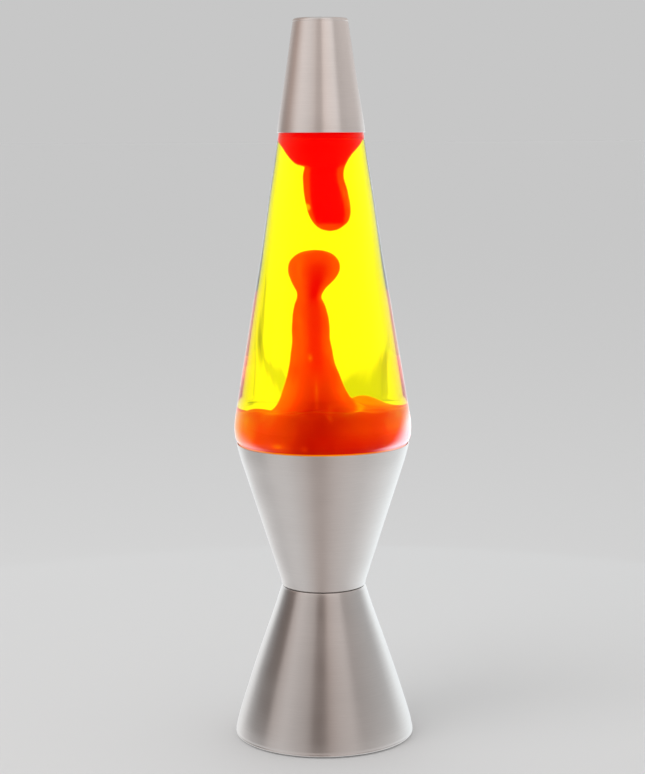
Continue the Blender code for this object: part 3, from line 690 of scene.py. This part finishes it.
def make_lower_cone():
    """The spun skirt: its ring top, its flared side and the hemmed lower edge."""
    flange = [(16.0, WAIST_Z), *arc((21.0, WAIST_Z - 0.8), 0.8, 90, 18, 6)]
    hem = [*arc((45.49, SKIRT_Z + 0.7), 0.7, 40, -90, 8), *arc((44.7, SKIRT_Z + 0.7), 0.7, -90, -180, 6),
           (44.0, SKIRT_Z + 1.4), (45.3, SKIRT_Z + 1.7)]
    inner = inset(LOWER_SIDE, CONE_WALL)[::-1]
    under = [(21.2, WAIST_Z - 1.0), (20.6, WAIST_Z - CONE_WALL), (16.0, WAIST_Z - CONE_WALL)]
    outline = [*flange, *LOWER_SIDE, *hem, *inner, *under]
    skirt = turned("spun_skirt", outline, ALUMINIUM, "base", "lower_cone")
    hole = OUTLET_RADIUS + 0.3
    cut(skirt, [(0, 4), (hole, 4), (hole, -4), (0, -4)], outlet_frame())


OUTLET_Z, OUTLET_RADIUS = 15.5, 5.6


def outlet_frame():
    """The cord outlet's frame: its origin on the skirt's back, its Z along the wall's normal."""
    radius, below, above = (radius_at(LOWER_SIDE, OUTLET_Z + step) for step in (0, -3, 3))
    lean = math.atan2(below - above, 6.0) - math.pi / 2
    return Matrix.Translation((0, radius * MM, OUTLET_Z * MM)) @ Matrix.Rotation(lean, 4, "X")


def make_bushing():
    """The snap bushing that lines the cord's outlet, with a rounded flange."""
    back = -CONE_WALL - 0.9
    flange = [*arc((6.5, 0.75), 0.65, 0, 90, 6), *arc((4.75, 0.65), 0.75, 90, 180, 6)]
    barrel = [(4.0, back), (4.2, back - 2.2), (OUTLET_RADIUS - 0.2, back - 2.2),
              (OUTLET_RADIUS + 0.7, back - 0.4), (OUTLET_RADIUS, back), (OUTLET_RADIUS, 0.3), (7.15, 0.3)]
    outline = [*flange, *barrel][::-1]
    turned("outlet_bushing", outline, PLASTIC, "base", "cord_bushing", around=96, at=outlet_frame())


CROWN_FLUTES = 21


def make_crown():
    """The crimped crown cap over the bottle's finish, with its 21 flutes."""
    top = FINISH_Z + 2.1
    skirt_top, skirt_bottom = top - 1.4, FINISH_Z - 4.6
    outer = [(0, top), (12.2, top), *arc((12.6, top - 1.5), 1.5, 80, 10, 6), (14.2, top - 2.4),
             (14.4, top - 4.2), (14.7, top - 5.4), (15.05, skirt_bottom)]
    inner = [(14.75, skirt_bottom + 0.1), (14.4, top - 5.3), (14.1, top - 4.1), (13.9, top - 2.4),
             *arc((12.6, top - 1.5), 1.15, 10, 80, 6), (0, top - 0.35)]

    def fluted(x, y, z):
        depth = eased(skirt_top * MM - z, 0, 3 * MM)
        swell = 1 + 0.022 * depth * math.cos(CROWN_FLUTES * math.atan2(y, x))
        return x * swell, y * swell, z

    turned("crimped_crown", [*outer, *inner], NICKEL, "globe", "crown_cap", around=CROWN_FLUTES * 12,
           shape=fluted)


TIP_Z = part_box("bulb_contact")[0].z / MM
BULB_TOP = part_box("bulb_glass")[1].z / MM
BULB_RADIUS = (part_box("bulb_glass")[1].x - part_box("bulb_glass")[0].x) / 2 / MM
SCREW_PITCH = 25.4 / 9


def make_bulb():
    """The bulb's envelope, its helical screw cap, and the coiled filament on its two leads."""
    neck = smooth([(11.5, TIP_Z + 25.0), (8.6, TIP_Z + 21.0), (7.4, TIP_Z + 18.0), (7.2, TIP_Z + 11.0)])
    envelope = [*arc((0, BULB_TOP - BULB_RADIUS), BULB_RADIUS, 90, -22, 30), *neck]
    glass_wall = 0.8
    hollow = [*inset(envelope, glass_wall)[1:][::-1], (0, BULB_TOP - glass_wall)]
    turned("bulb_envelope", [*envelope, *hollow], BULB_GLASS, "bulb", "bulb_glass", around=96)

    top, bottom, ridge, outer = TIP_Z + 16.6, TIP_Z + 3.2, 0.3, 8.1
    wall = [(outer, z) for z in np.linspace(top - 1.4, bottom + 0.8, 70)]
    ring = [(outer - 0.6, top), (outer, top), *wall, (6.6, bottom - 0.2), (5.3, bottom - 1.0),
            (5.3, bottom - 0.6), (6.5, bottom + 0.3), (outer - 0.6, bottom + 1.4)]

    def threaded(x, y, z):
        radius, height = math.hypot(x, y) / MM, z / MM
        if radius < outer - 0.1 or not bottom + 0.8 < height < top - 1.5:
            return x, y, z
        fade = min(top - 1.4 - height, height - bottom - 0.7, 1)
        turn = (top - height) / SCREW_PITCH - math.atan2(y, x) / (2 * math.pi)
        grown = 1 + fade * ridge * math.cos(2 * math.pi * turn) / outer
        return x * grown, y * grown, z

    turned("bulb_thread", ring, NICKEL, "bulb", "bulb_screw_cap", around=96, shape=threaded)

    foot, head = TIP_Z + 31.3, TIP_Z + 43.0
    for name, side in (("left", -1), ("right", 1)):
        lead = smooth([(side * 0.9, 0, foot), (side * 3.0, 0, foot + 3.5), (side * 6.8, 0, head - 2.6),
                       (side * 7.9, 0, head)])
        wire(f"lead_{name}", lead, 0.35, NICKEL, "bulb", f"bulb_lead_{name}")
    turns, steps, reach, rise, coil_radius = 46, 14, 7.1, 2.9, 0.22
    coil = []
    for i in range(turns * steps + 1):
        x = reach * (2 * i / (turns * steps) - 1)
        angle = 2 * math.pi * i / steps
        arch = head + rise * (1 - (x / reach) ** 2)
        coil.append((x, coil_radius * math.cos(angle), arch + coil_radius * math.sin(angle)))
    wire("coiled_filament", coil, 0.07, TUNGSTEN, "bulb", "bulb_filament", sides=8)


CARRIED = {
    "crown_liner": LINER, "heat_coil": STEEL, "waist_rivet_left": STEEL, "waist_rivet_right": STEEL,
    "socket_bracket": STEEL, "socket_screw": STEEL, "socket_shell": BRASS, "socket_contact": BRASS,
    "terminal_screw_line": BRASS, "terminal_screw_neutral": BRASS, "socket_body": PHENOLIC,
    "bottom_cover": PLASTIC, "bulb_contact": NICKEL, "bulb_insulator": VITRITE, "bulb_stem": BULB_GLASS,
    "foot_back_left": RUBBER, "foot_back_right": RUBBER, "foot_front_left": RUBBER,
    "foot_front_right": RUBBER,
}


def finish_carried():
    """Gives every CAD node that stays its own finish."""
    for name, finish in CARRIED.items():
        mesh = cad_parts[name].data
        mesh.materials.clear()
        mesh.materials.append(finish.material)
        mesh.shade_smooth()
        mesh.set_sharp_from_angle(angle=math.radians(35))


# ---------------------------------------------------------------- studio

AMBIENT = 0.9                   # radiance that lights matt surfaces
FLOOR_PAINT = 0.62
PALE = AMBIENT * FLOOR_PAINT + 0.013         # the backdrop matches the far floor
GLOBE_LIGHT = 1.12              # what is seen through the globe

# What the metal mirrors, as (degrees round from the camera, brightness), where the right side of the lamp
# mirrors positive angles: a drum of cards, whose lower half shows in the skirt and upper half in the cap,
# and the world below the horizon, which shows in the cup.
SKIRT_CARDS = ((-180, 1.05), (-150, 1.05), (-137, 0.84), (-121, 0.27), (-104, 0.12), (-82, 0.11),
               (-74, 0.48), (-56, 0.58), (-38, 0.44), (-22, 0.32), (-13, 0.05), (-1, 0.05), (8, 0.31),
               (20, 0.43), (37, 0.51), (50, 0.33), (84, 0.41), (107, 0.45), (122, 0.70), (137, 1.05),
               (180, 1.15))
CAP_CARDS = ((-180, 0.50), (-140, 0.55), (-121, 0.48), (-100, 0.60), (-84, 0.86), (-66, 0.97),
             (-38, 0.88), (-20, 0.81), (-12, 0.68), (2, 0.67), (8, 0.97), (20, 1.03), (46, 1.0),
             (58, 0.65), (96, 0.73), (134, 0.72), (180, 0.55))
BELOW = ((-180, 0.95), (-145, 1.0), (-122, 0.80), (-104, 0.71), (-60, 0.71), (-30, 0.61), (-14, 0.54),
         (0, 0.54), (20, 0.61), (70, 0.70), (100, 0.85), (118, 0.98), (145, 1.1), (180, 1.0))
# How warm those cards look, as (degrees, share of green that is missing).
SKIRT_WARMTH = ((-180, -0.05), (-134, -0.02), (-119, 0.04), (-104, 0.22), (-82, 0.30), (-72, 0.08),
                (-45, 0.06), (-22, 0.11), (-13, 0.50), (-1, 0.50), (8, 0.20), (24, 0.095), (61, 0.09),
                (77, 0.04), (107, 0.0), (134, -0.05), (180, -0.07))
CAP_WARMTH = ((-180, 0.05), (-134, 0.12), (-115, 0.21), (-100, 0.21), (-86, 0.14), (-69, 0.09),
              (-40, 0.08), (-14, 0.13), (3, 0.14), (20, 0.11), (45, 0.07), (61, 0.10), (134, 0.10),
              (180, 0.05))
BELOW_WARMTH = ((-180, -0.03), (-119, 0.01), (-65, 0.01), (-45, 0.05), (-10, 0.125), (10, 0.105),
                (40, 0.06), (80, 0.02), (107, -0.01), (134, -0.06), (180, -0.06))
DRUM_RADIUS, DRUM_HEIGHT, DRUM_SPLIT = 0.45, 1.2, 0.33

# Dark stands behind the lamp that show through the globe as olive streaks: (degrees round, elevation) of
# both ends, half-width and darkness. One degree of elevation spans as much glass as LENS degrees round.
LENS = 20.0
STANDS = ((144, -15.9, 141.5, -17.1, 3.0, 0.30), (131, -18.2, 141, -18.3, 2.5, 0.22),
          (142.5, -17.3, 146.5, -16.7, 4.0, 0.32), (152.5, -16.7, 165, -15.5, 1.5, 0.22),
          (-172, -15.4, -147, -17.5, 5.0, 0.28), (-151, -17.0, -136, -18.2, 3.0, 0.12))


def tone(value, warmth):
    """A brightness as a colour, by the share of green that is missing."""
    return value, value * (1 - warmth), value * (1 - 1.4 * warmth)


def round_about(nodes, x, y):
    """Degrees round from the camera's side, and the same as a ramp position."""
    turn = nodes.maths("ARCTAN2", x, nodes.maths("MULTIPLY", y, -1.0))
    return nodes.maths("DEGREES", turn), nodes.maths("MULTIPLY_ADD", turn, 1 / (2 * math.pi), 0.5)


def levels(nodes, where, brightness, warmth):
    """Colour by ramp position, at the stops of brightness."""
    return nodes.ramp(where, *(((degrees + 180) / 360, tone(value, np.interp(degrees, *zip(*warmth))))
                               for degrees, value in brightness))


def behind_globe(world, degrees, elevation):
    """Brightness seen through the globe, with the dark stands' soft-edged shapes taken out of it."""
    place = world.node("CombineXYZ")
    world.feed(place.inputs[0], degrees)
    world.feed(place.inputs[1], world.maths("MULTIPLY", elevation, LENS))
    wobble = world.node("TexNoise", Scale=0.08)
    world.feed(wobble.inputs["Vector"], place.outputs[0])
    shift = 5.0
    moved = world.vector("MULTIPLY_ADD", wobble.outputs["Color"], (2 * shift, 2 * shift, 0),
                         place.outputs[0])
    light = GLOBE_LIGHT
    for start_turn, start_rise, end_turn, end_rise, half_width, darkness in STANDS:
        start = (start_turn + shift, start_rise * LENS + shift, 0)
        run = Vector((end_turn - start_turn, (end_rise - start_rise) * LENS, 0))
        away = world.vector("SUBTRACT", moved, start)
        share = world.maths("DIVIDE", world.vector("DOT_PRODUCT", away, tuple(run)), run.length_squared,
                            clamped=True)
        gap = world.vector("DISTANCE", away, world.vector("SCALE", tuple(run), scale=share))
        left = world.ranged(gap, 1 - darkness, 1, 0.6 * half_width, 1.7 * half_width, "SMOOTHSTEP")
        light = world.maths("MULTIPLY", left, light)
    return light


def make_world():
    """Told apart by which kind of ray looks: the camera sees a plain backdrop."""
    backdrop = bpy.data.worlds.new("studio")
    bpy.context.scene.world = backdrop
    backdrop.use_nodes = True
    backdrop.cycles.sampling_method = "NONE"
    world = Nodes(backdrop.node_tree)
    direction = world.node("SeparateXYZ")
    world.feed(direction.inputs[0], world.node("TexCoord").outputs["Generated"])
    x, y, z = direction.outputs
    degrees, where = round_about(world, x, y)
    mirrored = world.mixed(world.ranged(z, 0, 1, -0.2, 0.1), levels(world, where, BELOW, BELOW_WARMTH),
                           (0.7, 0.7, 0.7))
    through = behind_globe(world, degrees, world.maths("DEGREES", world.maths("ARCSINE", z)))
    ray = world.node("LightPath").outputs
    seen = world.mixed(ray["Is Glossy Ray"], (AMBIENT,) * 3, mirrored)
    seen = world.mixed(ray["Is Transmission Ray"], seen, through)
    seen = world.mixed(ray["Is Camera Ray"], seen, (PALE,) * 3)
    world.feed(world.tree.nodes["Background"].inputs["Color"], seen)


def make_cards():
    """The drum of cards round the lamp, which only mirror-like surfaces see."""
    cards = Finish("card_light", None, Base_Color=(0, 0, 0), Specular_IOR_Level=0.0, Emission_Strength=1.0)
    place = cards.node("SeparateXYZ")
    cards.feed(place.inputs[0], cards.node("TexCoord").outputs["Object"])
    x, y, z = place.outputs
    where = round_about(cards, x, y)[1]
    height = cards.ranged(z, 0, 1, DRUM_SPLIT - 0.05, DRUM_SPLIT + 0.05)
    light = cards.mixed(height, levels(cards, where, SKIRT_CARDS, SKIRT_WARMTH),
                        levels(cards, where, CAP_CARDS, CAP_WARMTH))
    cards.to(light, "Emission Color")
    around = 96
    angles = np.arange(around) * 2 * math.pi / around
    points = [(DRUM_RADIUS * math.cos(a), DRUM_RADIUS * math.sin(a), level)
              for level in (0, DRUM_HEIGHT) for a in angles]
    faces = [(j, (j + 1) % around, around + (j + 1) % around, around + j) for j in range(around)]
    mesh = bpy.data.meshes.new("cards")
    mesh.from_pydata(points, [], faces)
    mesh.materials.append(cards.material)
    drum = bpy.data.objects.new("cards", mesh)
    bpy.context.scene.collection.objects.link(drum)
    for ray in ("camera", "diffuse", "transmission", "volume_scatter", "shadow"):
        setattr(drum, "visible_" + ray, False)


def make_studio():
    """The world, the cards, a pale floor, one softbox and the camera."""
    scene = bpy.context.scene
    scene.view_settings.view_transform = "Standard"
    make_world()
    make_cards()
    floor = bpy.data.meshes.new("floor")
    reach = 30.0
    floor.from_pydata([(-reach, -reach, 0), (reach, -reach, 0), (reach, reach, 0), (-reach, reach, 0)], [],
                      [(0, 1, 2, 3)])
    pale = Finish("floor_paint", None, Base_Color=(FLOOR_PAINT,) * 3, Roughness=0.7)
    floor.materials.append(pale.material)
    ground = bpy.data.objects.new("floor", floor)
    scene.collection.objects.link(ground)
    ground.visible_transmission = False
    ground.visible_glossy = False

    lamp = bpy.data.lights.new("softbox", "AREA")
    lamp.shape, lamp.size, lamp.energy = "DISK", 1.2, 9.0
    softbox = bpy.data.objects.new("softbox", lamp)
    scene.collection.objects.link(softbox)
    softbox.visible_glossy = softbox.visible_transmission = False
    place, target = Vector((-0.9, -0.7, 1.6)), Vector((0, 0, 0.1))
    aim = (target - place).to_track_quat("-Z", "Y").to_matrix().to_4x4()
    softbox.matrix_world = Matrix.Translation(place) @ aim

    data = bpy.data.cameras.new("photo_camera")
    data.lens, data.sensor_width = PHOTO_LENS, PHOTO_SENSOR
    data.clip_end = 100
    camera = bpy.data.objects.new("photo_camera", data)
    scene.collection.objects.link(camera)
    camera.matrix_world = (Matrix.Translation((0, -CAMERA_DISTANCE, CAMERA_HEIGHT))
                           @ Matrix.Rotation(math.radians(90 + CAMERA_PITCH), 4, "X")
                           @ Matrix.Rotation(math.radians(CAMERA_ROLL), 4, "Z"))
    scene.camera = camera


make_cap()
make_globe()
make_hanging_wax()
make_rising_wax()
make_upper_cone()
make_lower_cone()
make_bushing()
make_crown()
make_bulb()
finish_carried()
make_studio()
